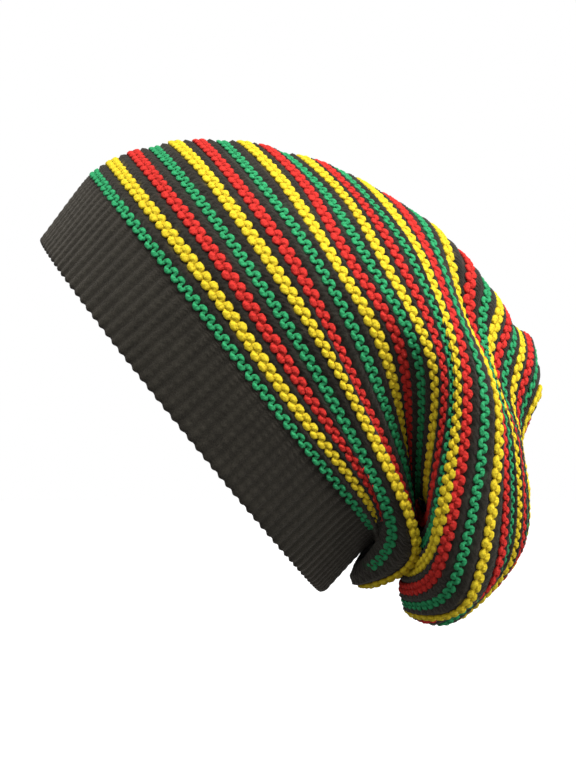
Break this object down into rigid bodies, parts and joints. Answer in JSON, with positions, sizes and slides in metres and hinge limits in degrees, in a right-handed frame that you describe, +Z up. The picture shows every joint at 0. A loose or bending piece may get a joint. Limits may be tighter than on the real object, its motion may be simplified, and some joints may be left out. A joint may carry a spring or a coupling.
{
  "type": "slouchy knitted beanie",
  "caption": "Slouchy knitted beanie: black ribbed band and a soft black crown with raised garter ridges in green, yellow and red, folded down behind.",
  "frame": {"origin": "centre of the rim's opening, where the hat sits on a head", "axes": "+Z up, +X to the back of the hat, +Y across it; the rim's opening faces down and forwards, tipped back by 51.3 degrees"},
  "size_m": [0.2237, 0.173, 0.2184],
  "materials": {
    "rib_black": "soft matt ribbed knit in black-brown yarn, slightly fuzzy",
    "ground_black": "soft matt knit in black-brown yarn between the ridges, fuzzy",
    "yarn_green": "thick matt yarn, raised purl bumps, green",
    "yarn_yellow": "thick matt yarn, raised purl bumps, warm yellow",
    "yarn_red": "thick matt yarn, raised purl bumps, red"
  },
  "bodies": {
    "root": {"ribbed_band": "rib_black", "crown_ground_front": "ground_black", "crown_ground_back": "ground_black", "ridge_01_green": "yarn_green", "ridge_02_yellow": "yarn_yellow", "ridge_03_red": "yarn_red", "ridge_04_green": "yarn_green", "ridge_05_yellow": "yarn_yellow", "ridge_06_red": "yarn_red", "ridge_07_green": "yarn_green", "ridge_08_yellow": "yarn_yellow", "ridge_09_red": "yarn_red", "ridge_10_green": "yarn_green", "ridge_11_yellow": "yarn_yellow", "ridge_12_red": "yarn_red", "ridge_13_green": "yarn_green", "ridge_14_yellow": "yarn_yellow", "ridge_15_red": "yarn_red", "ridge_16_green": "yarn_green", "ridge_17_yellow": "yarn_yellow", "ridge_18_red": "yarn_red", "ridge_19_green": "yarn_green", "ridge_20_yellow": "yarn_yellow", "ridge_21_red": "yarn_red", "ridge_22_green": "yarn_green", "ridge_23_yellow": "yarn_yellow", "ridge_24_red": "yarn_red", "ridge_25_green": "yarn_green", "ridge_26_yellow": "yarn_yellow", "ridge_27_red": "yarn_red"}
  },
  "joints": []
}
